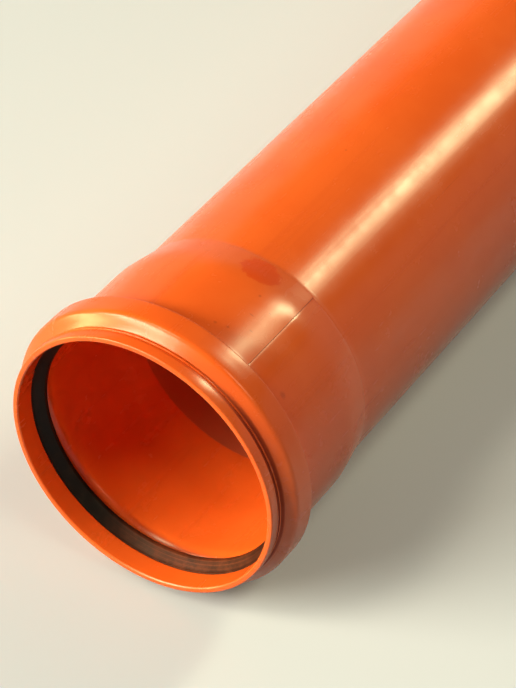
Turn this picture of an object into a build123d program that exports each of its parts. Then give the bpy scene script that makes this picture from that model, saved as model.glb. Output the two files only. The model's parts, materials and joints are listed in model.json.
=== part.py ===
from build123d import *
from math import atan2, degrees, radians, sin, tan
import os

# A DN 160 sewer pipe with a formed socket, and the rubber sealing ring in its groove.
# Millimetres. Sections are drawn as (distance from the mouth, radius) and turned about the axis.

# Barrel and spigot end
pipe_diameter = 160.0
pipe_wall = 4.0
laying_length = 1000.0
spigot_chamfer_length = 9.0
spigot_chamfer_angle = 15.0

# Mouth: rim with a lead-in, collar, and the shallow neck with its fine rib
mouth_diameter = 162.9
mouth_lead_in = 0.7
collar_diameter = 170.0
collar_length = 6.6
rim_round = 0.9
neck_width = 4.2
neck_depth = 0.9
rib_offset = 2.2
rib_width = 1.0
rib_height = 0.6

# Bead that houses the sealing ring
bead_diameter = 183.4
bead_wall = 3.2
bead_rear_wall = 6.0
bead_front_length = 4.8
bead_crown_length = 14.2
bead_rear_length = 2.6
bead_front_round = 4.0
bead_rear_round = 1.2
bead_heel_round = 1.5
groove_heel_round = 10.0

# Plain socket and the shoulder down to the barrel
socket_diameter = 168.8
socket_bore_diameter = 161.0
socket_length = 52.0
shoulder_length = 23.0
shoulder_round = 60.0
barrel_round = 12.0

# Sealing ring: a body in the groove and a lip that leans into the socket
seal_clearance = 0.15
seal_toe_diameter = 163.2
seal_toe_length = 1.2
seal_toe_taper = 0.4
seal_heel_diameter = 171.0
seal_root_length = 5.0
seal_root_width = 0.8
lip_diameter = 154.0
lip_length = 6.6
lip_land_length = 2.2
lip_tip_thickness = 1.6
lip_tip_lean = 0.8

# Radii
pipe_r = pipe_diameter / 2
bore_r = pipe_r - pipe_wall
spigot_end_r = pipe_r - spigot_chamfer_length * tan(radians(spigot_chamfer_angle))
mouth_r = mouth_diameter / 2
collar_r = collar_diameter / 2
neck_r = collar_r - neck_depth
rib_r = neck_r + rib_height
bead_r = bead_diameter / 2
groove_r = bead_r - bead_wall
socket_r = socket_diameter / 2
socket_bore_r = socket_bore_diameter / 2
seal_r = groove_r - seal_clearance
seal_toe_r = seal_toe_diameter / 2
seal_heel_r = seal_heel_diameter / 2
lip_r = lip_diameter / 2

# Places along the axis, from the mouth
neck_at = collar_length
rib_at = neck_at + rib_offset
bead_at = neck_at + neck_width
crown_at = bead_at + bead_front_length
crown_end_at = crown_at + bead_crown_length
socket_at = crown_end_at + bead_rear_length
shoulder_at = socket_at + socket_length
barrel_at = shoulder_at + shoulder_length
end_at = shoulder_at + laying_length
chamfer_at = end_at - spigot_chamfer_length


def front_wall(r, inset):
    """Place of a face set in from the bead's outer front flank, at radius r."""
    slope = atan2(bead_r - neck_r, bead_front_length)
    return crown_at + (r - bead_r) / tan(slope) + inset / sin(slope)


def rear_wall(r, inset):
    """Place of a face set in from the bead's outer rear flank, at radius r."""
    slope = atan2(bead_r - socket_r, bead_rear_length)
    return crown_end_at - (r - bead_r) / tan(slope) - inset / sin(slope)


def turned(corners):
    """Solid of revolution from the (place, radius, rounding) corners of its section."""
    points = [(at, r) for at, r, rounding in corners]
    rounds = [rounding for at, r, rounding in corners]
    section = make_face(Plane.YZ * FilletPolyline(*points, radius=rounds, close=True))
    return revolve(section, Axis.Y)


# The pipe: outside from the mouth to the spigot end, then inside back to the mouth
outside = [
    (0, mouth_r + mouth_lead_in, 0),
    (0, collar_r, rim_round),
    (neck_at, collar_r, 0),
    (neck_at, neck_r, 0),
    (rib_at, neck_r, 0),
    (rib_at, rib_r, 0),
    (rib_at + rib_width, rib_r, 0),
    (rib_at + rib_width, neck_r, 0),
    (bead_at, neck_r, 0),
    (crown_at, bead_r, bead_front_round),
    (crown_end_at, bead_r, bead_rear_round),
    (socket_at, socket_r, bead_heel_round),
    (shoulder_at, socket_r, shoulder_round),
    (barrel_at, pipe_r, barrel_round),
    (chamfer_at, pipe_r, 0),
    (end_at, spigot_end_r, 0),
]
inside = [
    (end_at, bore_r, 0),
    (barrel_at, bore_r, barrel_round),
    (shoulder_at, socket_bore_r, shoulder_round),
    (rear_wall(socket_bore_r, bead_rear_wall), socket_bore_r, groove_heel_round),
    (rear_wall(groove_r, bead_rear_wall), groove_r, 0),
    (front_wall(groove_r, bead_wall), groove_r, 0),
    (front_wall(mouth_r, bead_wall), mouth_r, 0),
    (mouth_lead_in, mouth_r, 0),
]
pipe = turned(outside + inside)

# The ring: its back follows the groove at a clearance, its front shows the toe, flank and lip
ring_inset = bead_wall + seal_clearance
ring_rear_inset = bead_rear_wall + seal_clearance
toe_at = front_wall(seal_toe_r, ring_inset)
root_at = toe_at + seal_root_length
lip_tip_at = toe_at + lip_length
lip_end_at = lip_tip_at + lip_land_length
sealing_ring = turned(
    [
        (toe_at, seal_toe_r, 0),
        (front_wall(seal_r, ring_inset), seal_r, 0),
        (rear_wall(seal_r, ring_rear_inset), seal_r, 0),
        (rear_wall(seal_heel_r, ring_rear_inset), seal_heel_r, 0),
        (root_at, seal_heel_r, 0),
        (root_at, seal_heel_r - seal_root_width, 0),
        (lip_end_at + lip_tip_lean, lip_r + lip_tip_thickness, 0),
        (lip_end_at, lip_r, 0),
        (lip_tip_at, lip_r, 0),
        (toe_at + seal_toe_length, seal_toe_r - seal_toe_taper, 0),
    ]
)

# It lies along Y on its bead and the edge of its spigot, so the axis dips a little to the spigot
dip = degrees(atan2(bead_r - pipe_r, chamfer_at - crown_end_at))
dipped = Rot(X=-dip)
box = (dipped * pipe).bounding_box()
lying = Pos(-box.center().X, -box.center().Y, -box.min.Z) * dipped

os.makedirs("parts", exist_ok=True)
export_step(lying * pipe, "parts/pipe.step")
export_step(lying * sealing_ring, "parts/sealing_ring.step")
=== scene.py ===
import bpy
import json
from math import atan2, cos, pi, radians, sin, tan
from mathutils import Matrix, Vector


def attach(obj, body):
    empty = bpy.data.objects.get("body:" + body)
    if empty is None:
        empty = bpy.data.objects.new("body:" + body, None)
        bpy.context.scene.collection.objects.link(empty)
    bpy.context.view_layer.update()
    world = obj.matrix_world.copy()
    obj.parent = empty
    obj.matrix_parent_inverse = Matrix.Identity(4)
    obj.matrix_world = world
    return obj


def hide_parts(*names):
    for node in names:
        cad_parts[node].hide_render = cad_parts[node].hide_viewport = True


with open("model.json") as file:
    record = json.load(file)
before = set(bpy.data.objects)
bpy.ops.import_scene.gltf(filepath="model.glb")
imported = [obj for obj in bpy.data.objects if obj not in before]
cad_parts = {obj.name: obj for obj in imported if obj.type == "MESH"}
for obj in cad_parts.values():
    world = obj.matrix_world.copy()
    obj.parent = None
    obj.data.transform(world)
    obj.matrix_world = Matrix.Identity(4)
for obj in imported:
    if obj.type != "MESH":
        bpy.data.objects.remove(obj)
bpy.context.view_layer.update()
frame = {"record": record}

MM = 0.001

# Pipe section, in millimetres from the mouth and from the axis, as in the part's source
PIPE_R = 80.0
BORE_R = 76.0
SPIGOT_END_R = 77.59
MOUTH_R = 81.45
MOUTH_LEAD_IN = 0.7
COLLAR_R = 85.0
NECK_AT, NECK_R = 6.6, 84.1
RIB_AT, RIB_END_AT, RIB_R = 8.8, 9.8, 84.7
BEAD_AT, BEAD_R = 10.8, 91.7
CROWN_AT, CROWN_END_AT = 15.6, 29.8
SOCKET_AT, SOCKET_R, SOCKET_BORE_R = 32.4, 84.4, 80.5
SOCKET_MID_R, BARREL_MID_R = (SOCKET_R + SOCKET_BORE_R) / 2, (PIPE_R + BORE_R) / 2
SHOULDER_AT, BARREL_AT = 84.4, 107.4
CHAMFER_AT, END_AT = 1075.4, 1084.4
GROOVE_R = 88.5
GROOVE_MOUTH_AT, GROOVE_FRONT_AT, GROOVE_REAR_AT, GROOVE_HEEL_AT = 12.91, 17.36, 24.57, 27.42

# Its roundings: the large ones as in the part's source, and those of edges that are sharp there
RIM_ROUND = 0.9
BEAD_FRONT_ROUND, BEAD_REAR_ROUND, BEAD_HEEL_ROUND = 4.0, 1.2, 1.5
SHOULDER_ROUND, BARREL_ROUND = 60.0, 12.0
GROOVE_MOUTH_ROUND, GROOVE_FRONT_ROUND, GROOVE_REAR_ROUND, GROOVE_HEEL_ROUND = 1.0, 0.8, 0.5, 10.0
EDGE_ROUND, SPIGOT_EDGE_ROUND = 0.3, 0.2
RIB_FOOT_ROUND, RIB_TOP_ROUND, BEAD_FOOT_ROUND = 0.15, 0.25, 0.8

# Sealing ring section and its roundings
RING_R = 88.35
RING_TOE = (13.18, 81.6)
RING_NOSE = (14.38, 81.2)
RING_FRONT_AT, RING_REAR_AT = 17.45, 24.47
RING_HEEL_AT, RING_HEEL_R = 25.48, 85.5
RING_ROOT_AT, RING_ROOT_R = 18.18, 84.7
LIP_R, LIP_TIP_AT, LIP_END_AT = 77.0, 19.78, 21.98
LIP_BACK = (22.78, 78.6)
RING_EDGE_ROUND, RING_BACK_ROUND, RING_ROOT_ROUND = 0.5, 0.6, 0.3
LIP_EDGE_ROUND, LIP_TIP_ROUND = 0.4, 0.6

# Mesh: steps round the axis, the longest steps along each section in millimetres, the angle from which
# an edge is sharp, and the weights of the socket's and the barrel's outside and inside in the texture map
TURN_STEPS = 320
SOCKET_STEP, BARREL_STEP, RING_STEP = 4.0, 40.0, 2.0
SHARP_FROM = radians(32)
SOCKET_WEIGHTS, BARREL_WEIGHTS = (8.0, 2.0), (1.0, 0.3)

# Moulding marks: two parting lines along the socket, a fine ring where the shoulder ends, slight waves
PARTING_ANGLE = 56.1
PARTING_START, PARTING_END = 33.0, 105.0
PARTING_DEPTH, PARTING_HALF_WIDTH = 0.04, 0.22
RING_MARK_AT, RING_MARK_STEP, RING_MARK_RUN = 105.0, 0.22, 9.0
RING_MARK_DEPTH, RING_MARK_HALF_WIDTH = 0.12, 0.35
RING_MARK_FADE, RING_MARK_FADE_ANGLE = 0.7, 25.0
WAVE_HEIGHT = 0.05

# Nicks and smudges on the outside: place, angle, and size in millimetres along and degrees round
NICKS = (
    (43.9, 75.7, (1.4, 1.0)),
    (41.2, 39.2, (2.4, 2.0)),
    (46.2, 71.0, (1.2, 0.8)),
    (77.4, 70.7, (1.2, 0.8)),
    (54.0, 63.9, (0.8, 1.2)),
    (63.0, 67.8, (0.7, 1.4)),
    (71.8, 63.3, (0.7, 1.0)),
    (215.0, 90.4, (1.0, 0.7)),
    (238.0, 48.0, (24.0, 0.12)),
)

# Rubbed patch on the shoulder: place, angle, and size in millimetres along and degrees round
PATCH_AT, PATCH_ANGLE, PATCH_SIZE = 95.0, 77.5, (11.5, 9.5)

# Painted shade in the neck and a painted sheen on the seal: the degrees round over which they set in and
# end
NECK_SHADE_IN, NECK_SHADE_OUT = (-110.0, -70.0), (40.0, 64.0)
SHEEN_ANGLE, SHEEN_FADE = -68.0, (12.0, 56.0)

# Colours, as linear values
PLASTIC_DEEP, PLASTIC_PALE = (0.82, 0.115, 0.014), (0.87, 0.137, 0.020)
PLASTIC_LINES = (0.70, 0.085, 0.009)
BORE_PAINTED_SHADE = (0.46, 0.118, 0.062)
PLASTIC_RUBBED = (0.78, 0.074, 0.004)
PARTING_DARK = (0.25, 0.028, 0.004)
NECK_PAINTED_SHADE = (0.24, 0.010, 0.001)
NICK_DIRT = (0.45, 0.050, 0.006)
RUBBER_CLEAN, RUBBER_DUSTY = (0.007, 0.0055, 0.005), (0.020, 0.014, 0.011)
RUBBER_PAINTED_SHEEN = (0.19, 0.042, 0.016)
FLOOR_SEEN, FLOOR_GIVING = (0.67, 0.74, 0.97), (0.15, 0.15, 0.15)
BACKDROP_SEEN, BACKDROP_LIT = (0.56, 0.53, 0.46), (0.07, 0.08, 0.10)

# Soft boxes: direction to the lamp, size in metres, level and colour; all face a place behind the mouth
LAMP_DISTANCE, LAMP_TARGET = 5.0, 0.1
LAMP_SPREAD = radians(90)
LAMPS = {
    "front": ((-0.54, -0.71, 0.43), (3.6, 1.3), 1.75, (1.0, 0.92, 0.60)),
    "left": ((-0.80, -0.58, 0.09), (3.6, 0.8), 0.85, (1.0, 0.84, 0.36)),
    "right": ((0.60, -0.10, 0.76), (1.8, 1.8), 0.20, (1.0, 0.85, 0.5)),
    "window": ((0.30, 0.73, 0.62), (0.55, 1.3), 0.38, (1.0, 0.92, 0.5)),
    "ceiling": ((-0.30, -0.50, 0.81), (1.25, 1.25), 0.34, (1.0, 0.85, 0.5)),
}
WORLD_GREY = 0.06

# Round floor with a sweep up to a low wall, and where it turns into the backdrop, in metres
FLOOR_R, FLOOR_SWEEP, FLOOR_WALL = 7.0, 2.5, 2.0
BACKDROP_FROM, BACKDROP_TO = 1.2, 4.0

# The photograph's view: heading and tilt in degrees, place in metres, lens and sensor in millimetres
CAMERA_HEADING, CAMERA_TILT = -32.294, 41.017
CAMERA_PLACE = (0.648914, -1.448394, 1.149010)
CAMERA_LENS, CAMERA_SENSOR = 147.73, 36.0

# The pipe's own axes: Y along it from the middle of the mouth, as it lies in the row frame
mounts = {m["name"]: m for m in frame["record"]["mounts"]}
AXIS = Vector(mounts["spigot"]["axis"])
MOUTH_WALL = mounts["socket_mouth"]["dims"]["length_mm"]
MOUTH = Vector(mounts["socket_mouth"]["pos_m"]) - AXIS * (MOUTH_LEAD_IN + MOUTH_WALL / 2) * MM
DIP = atan2(-AXIS.z, AXIS.y)
LYING = Matrix.Translation(MOUTH) @ Matrix.Rotation(-DIP, 4, "X")


# Shapes


def rounded(corners, step=radians(15)):
    """Points of a closed section through (place, radius, rounding) corners."""
    points = []
    for i, (at, r, rounding) in enumerate(corners):
        here = Vector((at, r))
        before = (Vector(corners[i - 1][:2]) - here).normalized()
        after = (Vector(corners[(i + 1) % len(corners)][:2]) - here).normalized()
        turn = pi - before.angle(after)
        centre = here + (before + after).normalized() * rounding / cos(turn / 2)
        start = here + before * rounding * tan(turn / 2) - centre
        end = here + after * rounding * tan(turn / 2) - centre
        sweep = atan2(start.x * end.y - start.y * end.x, start.dot(end))
        count = max(2, round(abs(sweep) / step))
        points += [centre + Matrix.Rotation(sweep * k / count, 2) @ start for k in range(count + 1)]
    return points


def divided(points, longest):
    """The same closed section with its long straight runs divided, longest(place) apart."""
    out = []
    for i, p in enumerate(points):
        q = points[(i + 1) % len(points)]
        count = max(1, round((q - p).length / longest((p.x + q.x) / 2)))
        out += [p.lerp(q, k / count) for k in range(count)]
    return out


def inserted(points, places):
    """The same section with points added on its outer side at some places."""
    out = []
    for i, p in enumerate(points):
        q = points[(i + 1) % len(points)]
        out.append(p)
        if min(p.y, q.y) > PIPE_R - 0.1:
            out += [p.lerp(q, (at - p.x) / (q.x - p.x)) for at in places if p.x + 0.02 < at < q.x - 0.02]
    return out


def even_angles(count, marks=()):
    """Angles round the axis, with close ones added across each mark."""
    angles = [2 * pi * k / count for k in range(count)]
    for mark in marks:
        angles += [(mark + radians(off)) % (2 * pi) for off in (-0.16, 0.0, 0.16)]
    return sorted(angles)


def running_share(section, weight):
    """How far along the closed section each point lies, from 0 to 1, each run counted by its weight."""
    runs = []
    for i, p in enumerate(section):
        q = section[(i + 1) % len(section)]
        runs.append((q - p).length * weight(p.lerp(q, 0.5)))
    total, share = sum(runs), [0.0]
    for run in runs:
        share.append(share[-1] + run / total)
    return share


def lay_out(mesh, angles, share, strips):
    """Texture map of a turned mesh: the turn cut into strips that lie one above the other."""
    turns, rows = len(angles), len(share) - 1
    layer = mesh.uv_layers.new(name="OFBake")
    edge = 0.004
    for face in mesh.polygons:
        j, i = divmod(face.index, rows)
        strip = int(angles[j] / (2 * pi) * strips)
        ends = angles[j], angles[j + 1] if j + 1 < turns else 2 * pi
        across = [min(max(a / (2 * pi) * strips - strip, 0), 1) for a in ends]
        corners = ((0, i), (0, i + 1), (1, i + 1), (1, i))
        for loop, (side, row) in zip(face.loop_indices, corners):
            u = edge + (1 - 2 * edge) * across[side]
            v = (strip + edge + (1 - 2 * edge) * share[row]) / strips
            layer.uv[loop].vector = (u, v)


def lathe(name, section, angles, relief, weight, strips):
    """Mesh piece turned from a section about the pipe's axis, with relief(place, radius, angle) added."""
    vertices, faces = [], []
    rows, turns = len(section), len(angles)
    for angle in angles:
        for at, r in section:
            r += relief(at, r, angle)
            vertices.append(LYING @ (Vector((r * cos(angle), at, r * sin(angle))) * MM))
    for j in range(turns):
        for i in range(rows):
            k, n = (i + 1) % rows, (j + 1) % turns
            faces.append((j * rows + i, j * rows + k, n * rows + k, n * rows + i))
    mesh = bpy.data.meshes.new(name)
    mesh.from_pydata(vertices, [], faces)
    lay_out(mesh, angles, running_share(section, weight), strips)
    mesh.shade_smooth()
    mesh.set_sharp_from_angle(angle=SHARP_FROM)
    piece = bpy.data.objects.new(name, mesh)
    bpy.context.scene.collection.objects.link(piece)
    return piece


def parting_angles():
    """The two halves of the socket's mould met at these angles."""
    return [radians(PARTING_ANGLE), radians(PARTING_ANGLE + 180)]


def ring_mark(at, angle):
    """Edge left by the mould's end: a step on one half of the shoulder, a fine groove on the other."""
    past = (angle - radians(PARTING_ANGLE)) % (2 * pi)
    if past < pi:
        if at > RING_MARK_AT:
            return 0.0
        fade = 1 - RING_MARK_FADE * min(past / radians(RING_MARK_FADE_ANGLE), 1)
        return RING_MARK_STEP * fade * max(0, 1 - (RING_MARK_AT - at) / RING_MARK_RUN)
    return -RING_MARK_DEPTH * max(0, 1 - abs(at - RING_MARK_AT) / RING_MARK_HALF_WIDTH)


def is_outside(at, r):
    """Whether a point of the pipe's section from the bead on lies on its outer side."""
    if at < CROWN_END_AT:
        return r > (GROOVE_R + BEAD_R) / 2
    narrowed = min(max((at - SHOULDER_AT) / (BARREL_AT - SHOULDER_AT), 0), 1)
    return r > SOCKET_MID_R + narrowed * (BARREL_MID_R - SOCKET_MID_R)


def pipe_relief(at, r, angle):
    """Height of the moulding marks and of the slight unevenness on the outside."""
    if not is_outside(at, r):
        return 0.0
    height = ring_mark(at, angle)
    if CROWN_AT < at < RING_MARK_AT:
        height += WAVE_HEIGHT * sin(7 * angle + 0.13 * at) * sin(0.11 * at + 3 * angle)
    if PARTING_START < at < PARTING_END:
        for mark in parting_angles():
            across = abs((angle - mark + pi) % (2 * pi) - pi) * r
            if across < PARTING_HALF_WIDTH:
                height -= PARTING_DEPTH * (1 - across / PARTING_HALF_WIDTH)
    return height


def pipe_weight(point):
    """Share of the texture map: most for the outside of the socket, least for the bore."""
    at, r = point
    outside = r > BORE_R + (4.5 if at < SHOULDER_AT else 1.0)
    weights = SOCKET_WEIGHTS if at < BARREL_AT + 5 else BARREL_WEIGHTS
    return weights[0] if outside else weights[1]


def make_pipe():
    section = rounded(
        [
            (0, MOUTH_R + MOUTH_LEAD_IN, EDGE_ROUND),
            (0, COLLAR_R, RIM_ROUND),
            (NECK_AT, COLLAR_R, EDGE_ROUND),
            (NECK_AT, NECK_R, EDGE_ROUND),
            (RIB_AT, NECK_R, RIB_FOOT_ROUND),
            (RIB_AT, RIB_R, RIB_TOP_ROUND),
            (RIB_END_AT, RIB_R, RIB_TOP_ROUND),
            (RIB_END_AT, NECK_R, RIB_FOOT_ROUND),
            (BEAD_AT, NECK_R, BEAD_FOOT_ROUND),
            (CROWN_AT, BEAD_R, BEAD_FRONT_ROUND),
            (CROWN_END_AT, BEAD_R, BEAD_REAR_ROUND),
            (SOCKET_AT, SOCKET_R, BEAD_HEEL_ROUND),
            (SHOULDER_AT, SOCKET_R, SHOULDER_ROUND),
            (BARREL_AT, PIPE_R, BARREL_ROUND),
            (CHAMFER_AT, PIPE_R, EDGE_ROUND),
            (END_AT, SPIGOT_END_R, SPIGOT_EDGE_ROUND),
            (END_AT, BORE_R, SPIGOT_EDGE_ROUND),
            (BARREL_AT, BORE_R, BARREL_ROUND),
            (SHOULDER_AT, SOCKET_BORE_R, SHOULDER_ROUND),
            (GROOVE_HEEL_AT, SOCKET_BORE_R, GROOVE_HEEL_ROUND),
            (GROOVE_REAR_AT, GROOVE_R, GROOVE_REAR_ROUND),
            (GROOVE_FRONT_AT, GROOVE_R, GROOVE_FRONT_ROUND),
            (GROOVE_MOUTH_AT, MOUTH_R, GROOVE_MOUTH_ROUND),
            (MOUTH_LEAD_IN, MOUTH_R, EDGE_ROUND),
        ]
    )
    section = divided(section, lambda at: SOCKET_STEP if at < BARREL_AT else BARREL_STEP)
    beside = (-RING_MARK_HALF_WIDTH, -0.15, 0, 0.12, RING_MARK_HALF_WIDTH)
    section = inserted(section, [RING_MARK_AT + off for off in beside])
    angles = even_angles(TURN_STEPS, parting_angles())
    return lathe("pipe_body", section, angles, pipe_relief, pipe_weight, strips=1)


def make_ring():
    section = rounded(
        [
            (*RING_TOE, RING_EDGE_ROUND),
            (RING_FRONT_AT, RING_R, RING_BACK_ROUND),
            (RING_REAR_AT, RING_R, RING_BACK_ROUND),
            (RING_HEEL_AT, RING_HEEL_R, RING_EDGE_ROUND),
            (RING_ROOT_AT, RING_HEEL_R, RING_ROOT_ROUND),
            (RING_ROOT_AT, RING_ROOT_R, RING_ROOT_ROUND),
            (*LIP_BACK, LIP_EDGE_ROUND),
            (LIP_END_AT, LIP_R, LIP_EDGE_ROUND),
            (LIP_TIP_AT, LIP_R, LIP_TIP_ROUND),
            (*RING_NOSE, LIP_EDGE_ROUND),
        ]
    )
    section = divided(section, lambda at: RING_STEP)
    smooth, even = lambda *place: 0.0, lambda point: 1.0
    return lathe("rubber_ring", section, even_angles(TURN_STEPS), smooth, even, strips=4)


# Materials


class Graph:
    """Short calls to add linked shader nodes to one material."""

    def __init__(self, name):
        self.material = bpy.data.materials.new(name)
        self.material.use_nodes = True
        self.tree = self.material.node_tree
        self.shader = self.tree.nodes["Principled BSDF"]

    def node(self, kind, inputs=None, **settings):
        node = self.tree.nodes.new(kind)
        for name, value in settings.items():
            setattr(node, name, value)
        for name, value in (inputs or {}).items():
            self.set(node.inputs[name], value)
        return node

    def set(self, socket, value):
        if isinstance(value, bpy.types.NodeSocket):
            self.tree.links.new(value, socket)
        else:
            socket.default_value = value

    def math(self, operation, *values):
        node = self.node("ShaderNodeMath", operation=operation)
        for socket, value in zip(node.inputs, values):
            self.set(socket, value)
        return node.outputs[0]

    def span(self, value, low, high, to_low=0.0, to_high=1.0):
        """value mapped smoothly from low..high to to_low..to_high."""
        kind = dict(interpolation_type="SMOOTHSTEP")
        inputs = {"Value": value, "From Min": low, "From Max": high, "To Min": to_low, "To Max": to_high}
        return self.node("ShaderNodeMapRange", inputs, **kind).outputs["Result"]

    def mix(self, share, a, b):
        node = self.node("ShaderNodeMix", data_type="RGBA")
        self.set(node.inputs["Factor"], share)
        self.set(node.inputs[6], a if isinstance(a, bpy.types.NodeSocket) else (*a, 1))
        self.set(node.inputs[7], b if isinstance(b, bpy.types.NodeSocket) else (*b, 1))
        return node.outputs[2]

    def noise(self, vector, scale, detail=2.0, rough=0.5):
        inputs = {"Vector": vector, "Scale": scale, "Detail": detail, "Roughness": rough}
        return self.node("ShaderNodeTexNoise", inputs).outputs["Fac"]

    def stretched(self, vector, scale):
        return self.node("ShaderNodeMapping", {"Vector": vector, "Scale": scale}).outputs[0]

    def length(self, vector):
        node = self.node("ShaderNodeVectorMath", operation="LENGTH")
        self.set(node.inputs[0], vector)
        return node.outputs["Value"]

    def lathe_places(self):
        """Place in the pipe's own axes, then distance along it, angle and distance from its axis."""
        coords = self.node("ShaderNodeTexCoord").outputs["Object"]
        shift = LYING.inverted().translation
        turn = LYING.inverted().to_euler()
        place = self.node(
            "ShaderNodeMapping", {"Vector": coords, "Location": shift, "Rotation": turn}
        ).outputs[0]
        parts = self.node("ShaderNodeSeparateXYZ", {"Vector": place}).outputs
        along = self.math("MULTIPLY", parts["Y"], 1 / MM)
        angle = self.math("DEGREES", self.math("ARCTAN2", parts["Z"], parts["X"]))
        across = self.node("ShaderNodeCombineXYZ", {"X": parts["X"], "Z": parts["Z"]}).outputs[0]
        radius = self.math("MULTIPLY", self.length(across), 1 / MM)
        return place, along, angle, radius


def spot(g, along, angle, at, turn, size):
    """Distance from a place on the outside, in sizes of (millimetres along, degrees round)."""
    du = g.math("DIVIDE", g.math("SUBTRACT", along, at), size[0])
    dt = g.math("DIVIDE", g.math("SUBTRACT", angle, turn), size[1])
    return g.math("SQRT", g.math("ADD", g.math("MULTIPLY", du, du), g.math("MULTIPLY", dt, dt)))


def neck_painted_shade(g, along, angle, radius):
    """Share of painted shade in the neck beside its rib and up the foot of the bead, on one side of the
    pipe.
    """
    floor = g.span(radius, NECK_R + 0.15, NECK_R + 0.45, 1.0, 0.0)
    low = g.math("MAXIMUM", floor, g.span(along, BEAD_AT - 0.3, BEAD_AT))
    low = g.math("MULTIPLY", low, g.span(radius, COLLAR_R, COLLAR_R + 1.4, 1.0, 0.0))
    low = g.math("MULTIPLY", low, g.math("GREATER_THAN", radius, NECK_R - 0.5))
    low = g.math("MULTIPLY", low, g.math("GREATER_THAN", along, NECK_AT - 0.05))
    low = g.math("MULTIPLY", low, g.math("LESS_THAN", along, CROWN_AT))
    side = g.math("MULTIPLY", g.span(angle, *NECK_SHADE_OUT, 1.0, 0.0), g.span(angle, *NECK_SHADE_IN))
    return g.math("MULTIPLY", low, side)


def parting_darkening(g, along, angle, outside):
    """Share of a darker colour along the two parting lines."""
    started = g.span(along, PARTING_START - 0.5, PARTING_START + 1)
    ended = g.span(along, PARTING_END - 1, PARTING_END + 0.5)
    runs = g.math("MULTIPLY", g.math("SUBTRACT", started, ended), outside)
    near = 0.0
    for mark in (PARTING_ANGLE, PARTING_ANGLE - 180):
        off = g.math("ABSOLUTE", g.math("SUBTRACT", angle, mark))
        near = g.math("MAXIMUM", near, g.span(off, 0.08, 0.20, 1.0, 0.0))
    return g.math("MULTIPLY", near, g.math("MULTIPLY", runs, 0.75))


def patch_reach(g, along, angle, ragged):
    """Distance from the middle of the rubbed patch, in its sizes, with a ragged edge."""
    reach = spot(g, along, angle, PATCH_AT, PATCH_ANGLE, PATCH_SIZE)
    return g.math("ADD", reach, g.math("MULTIPLY", g.math("SUBTRACT", ragged, 0.5), 0.8))


def nick_share(g, along, angle, ragged):
    """Share of dirt in the nicks and smudges."""
    share = 0.0
    for at, turn, size in NICKS:
        far = g.math("ADD", spot(g, along, angle, at, turn, size), g.math("MULTIPLY", ragged, 0.8))
        share = g.math("MAXIMUM", share, g.span(far, 0.6, 1.4, 0.5, 0.0))
    return share


def polypropylene():
    g = Graph("polypropylene")
    place, along, angle, radius = g.lathe_places()
    mid_wall = g.span(along, SHOULDER_AT, BARREL_AT, SOCKET_MID_R, BARREL_MID_R)
    outside = g.math("GREATER_THAN", radius, mid_wall)
    inside = g.math("SUBTRACT", 1.0, outside)
    bore = g.math("MULTIPLY", inside, g.span(along, BARREL_AT - 0.5, BARREL_AT + 1.0))
    lines = g.noise(g.stretched(place, (160, 2.0, 160)), 1.0, 3.0, 0.6)
    ragged = g.noise(place, 260.0, 4.0, 0.65)
    reach = patch_reach(g, along, angle, ragged)
    neck_shade = neck_painted_shade(g, along, angle, radius)

    # cloudy colour with fine lines drawn along the pipe, and painted shade that darkens the bore beyond
    # the socket
    colour = g.mix(g.span(g.noise(place, 18.0, 3.0), 0.3, 0.7), PLASTIC_DEEP, PLASTIC_PALE)
    colour = g.mix(g.span(lines, 0.52, 0.75, 0.0, 0.25), colour, PLASTIC_LINES)
    # painted shade: the bore beyond the socket is darkened, as the light dies away deep in the pipe
    colour = g.mix(g.math("MULTIPLY", bore, 0.8), colour, BORE_PAINTED_SHADE)

    # darker parting lines, painted shade in the neck, a rubbed patch that stops at the ring mark, and a
    # few dark nicks
    # a darker colour along the two parting lines
    colour = g.mix(parting_darkening(g, along, angle, outside), colour, PARTING_DARK)
    # painted shade: the neck groove is darkened on the side where it lies in shade
    colour = g.mix(g.math("MULTIPLY", neck_shade, 0.8), colour, NECK_PAINTED_SHADE)
    before_mark = g.math("MULTIPLY", outside, g.math("LESS_THAN", along, RING_MARK_AT))
    patch = g.math("MULTIPLY", g.span(reach, 0.78, 0.92, 1.0, 0.0), before_mark)
    colour = g.mix(g.math("MULTIPLY", patch, 0.85), colour, PLASTIC_RUBBED)
    nicks = g.math("MULTIPLY", nick_share(g, along, angle, ragged), outside)
    g.set(g.shader.inputs["Base Color"], g.mix(nicks, colour, NICK_DIRT))

    # gloss, duller in smudges, along the drawn lines, in the bore and in the neck's painted shade
    smudge = g.noise(place, 45.0, 4.0, 0.6)
    rough = g.span(smudge, 0.35, 0.7, 0.22, 0.28)
    rough = g.math("ADD", rough, g.span(lines, 0.5, 0.75, 0.0, 0.05))
    rough = g.math("ADD", rough, g.math("MULTIPLY", bore, 0.15))
    rough = g.math("ADD", rough, g.math("MULTIPLY", neck_shade, 0.45))
    g.set(g.shader.inputs["Roughness"], rough)
    g.set(g.shader.inputs["Specular IOR Level"], 0.45)

    # fine grain, drawn lines, and the flaked edge of the rubbed patch
    grain = g.noise(place, 1400.0, 2.0)
    flakes = g.math("MULTIPLY", g.span(reach, 0.6, 0.95, 0.0, 1.0), g.span(reach, 0.95, 1.2, 1.0, 0.0))
    flakes = g.math("MULTIPLY", g.math("MULTIPLY", flakes, outside), g.span(ragged, 0.4, 0.6))
    height = g.math("ADD", g.math("MULTIPLY", lines, 0.6), g.math("MULTIPLY", grain, 0.25))
    height = g.math("ADD", height, g.math("MULTIPLY", flakes, 4.0))
    bump = g.node("ShaderNodeBump", {"Height": height, "Strength": 0.05, "Distance": 0.0006})
    g.set(g.shader.inputs["Normal"], bump.outputs[0])
    return g.material


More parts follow.
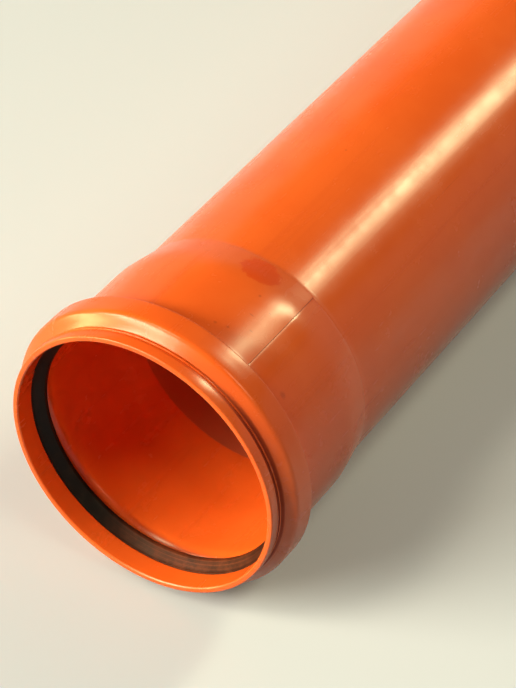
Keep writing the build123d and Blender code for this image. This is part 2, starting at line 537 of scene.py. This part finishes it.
def seal_rubber():
    g = Graph("seal_rubber")
    place, _, angle, _ = g.lathe_places()
    dust = g.noise(place, 120.0, 4.0, 0.65)
    rings = g.noise(g.stretched(place, (4, 2200, 4)), 1.0, 2.0)
    colour = g.mix(g.span(dust, 0.45, 0.8, 0.0, 0.7), RUBBER_CLEAN, RUBBER_DUSTY)

    # painted sheen: a brown reflection of the orange bore, painted on the lowest part
    low = g.span(g.math("ABSOLUTE", g.math("SUBTRACT", angle, SHEEN_ANGLE)), *SHEEN_FADE, 1.0, 0.0)
    sheen = g.math("MULTIPLY", low, g.span(g.math("ADD", dust, rings), 0.7, 1.3, 0.2, 0.75))
    colour = g.mix(sheen, colour, RUBBER_PAINTED_SHEEN)
    g.set(g.shader.inputs["Base Color"], colour)
    g.set(g.shader.inputs["Roughness"], g.span(dust, 0.35, 0.75, 0.34, 0.52))
    g.set(g.shader.inputs["Specular IOR Level"], 0.12)

    grain = g.noise(place, 1800.0, 2.0)
    height = g.math("ADD", rings, g.math("MULTIPLY", grain, 0.5))
    bump = g.node("ShaderNodeBump", {"Height": height, "Strength": 0.12, "Distance": 0.0004})
    g.set(g.shader.inputs["Normal"], bump.outputs[0])
    return g.material


def pale_floor():
    """Pale to the eye and in reflections, and darker to the light that it throws back."""
    g = Graph("floor")
    rays = g.node("ShaderNodeLightPath").outputs
    seen = g.math("MAXIMUM", rays["Is Camera Ray"], rays["Is Glossy Ray"])
    seen = g.math("MAXIMUM", seen, rays["Is Transmission Ray"])
    g.set(g.shader.inputs["Roughness"], 0.9)
    g.set(g.shader.inputs["Specular IOR Level"], 0.0)

    # far off, the colour that the lamps light gives way to an even one of its own
    place = g.node("ShaderNodeTexCoord").outputs["Object"]
    far = g.span(g.length(place), BACKDROP_FROM, BACKDROP_TO)
    lit = g.mix(far, FLOOR_SEEN, BACKDROP_LIT)
    g.set(g.shader.inputs["Base Color"], g.mix(seen, FLOOR_GIVING, lit))
    g.set(g.shader.inputs["Emission Color"], (*BACKDROP_SEEN, 1))
    g.set(g.shader.inputs["Emission Strength"], g.math("MULTIPLY", seen, far))
    return g.material


# Stage


def make_camera():
    heading, tilt = radians(CAMERA_HEADING), radians(CAMERA_TILT)
    right = Vector((cos(heading), -sin(heading), 0))
    up = Vector((sin(heading) * sin(tilt), cos(heading) * sin(tilt), cos(tilt)))
    ahead = Vector((sin(heading) * cos(tilt), cos(heading) * cos(tilt), -sin(tilt)))
    camera = bpy.data.objects.new("camera", bpy.data.cameras.new("camera"))
    camera.data.lens = CAMERA_LENS
    camera.data.sensor_width = CAMERA_SENSOR
    camera.data.clip_end = 50
    turn = Matrix((right, up, -ahead)).transposed().to_4x4()
    camera.matrix_world = Matrix.Translation(CAMERA_PLACE) @ turn
    bpy.context.scene.collection.objects.link(camera)
    bpy.context.scene.camera = camera


def soft_light(name, toward, size, level, colour):
    """A soft box facing the socket from the direction toward; at level 1 a colour shows as it is written.

    Its size is in metres at LAMP_DISTANCE, and its beam is kept off the floor around it.
    """
    target = MOUTH + AXIS * LAMP_TARGET
    half = LAMP_SPREAD / 2
    beam = pi * (sin(half) ** 2 - (half - sin(half) * cos(half)) / tan(half))
    lamp = bpy.data.lights.new(name, "AREA")
    lamp.shape = "RECTANGLE"
    lamp.size, lamp.size_y = size
    lamp.spread = LAMP_SPREAD
    lamp.energy = level * pi * LAMP_DISTANCE**2 * beam
    lamp.color = colour
    light = bpy.data.objects.new(name, lamp)
    light.visible_camera = False
    light.location = target + Vector(toward).normalized() * LAMP_DISTANCE
    light.rotation_euler = Vector(toward).to_track_quat("Z", "Y").to_euler()
    bpy.context.scene.collection.objects.link(light)


def make_floor():
    """A round floor that sweeps up to a low wall far away."""
    turns = 96
    rim = [(FLOOR_R - 1, 0.0), (FLOOR_R, 0.0)]
    for t in range(10, 91, 10):
        rim.append((FLOOR_R + FLOOR_SWEEP * sin(radians(t)), FLOOR_SWEEP * (1 - cos(radians(t)))))
    rim.append((FLOOR_R + FLOOR_SWEEP, FLOOR_SWEEP + FLOOR_WALL))
    angles = even_angles(turns)
    vertices = [(r * cos(angle), r * sin(angle), height) for r, height in rim for angle in angles]
    faces = [tuple(range(turns))]
    for j in range(len(rim) - 1):
        for k in range(turns):
            n = (k + 1) % turns
            faces.append((j * turns + n, j * turns + k, (j + 1) * turns + k, (j + 1) * turns + n))
    mesh = bpy.data.meshes.new("floor")
    mesh.from_pydata(vertices, [], faces)
    mesh.shade_smooth()
    floor = bpy.data.objects.new("floor", mesh)
    bpy.context.scene.collection.objects.link(floor)
    floor.data.materials.append(pale_floor())


def make_world():
    world = bpy.data.worlds.new("studio")
    world.use_nodes = True
    background = world.node_tree.nodes["Background"]
    background.inputs["Color"].default_value = (WORLD_GREY, WORLD_GREY, WORLD_GREY, 1)
    background.inputs["Strength"].default_value = 1.0
    bpy.context.scene.world = world


pipe = make_pipe()
ring = make_ring()
pipe.data.materials.append(polypropylene())
ring.data.materials.append(seal_rubber())
for piece, node, slot in ((pipe, "pipe", "polypropylene"), (ring, "sealing_ring", "seal_rubber")):
    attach(piece, "root")
    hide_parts(node)

make_floor()
make_world()
for name, (toward, size, level, colour) in LAMPS.items():
    soft_light(name, toward, size, level, colour)
make_camera()
bpy.context.scene.view_settings.view_transform = "Standard"
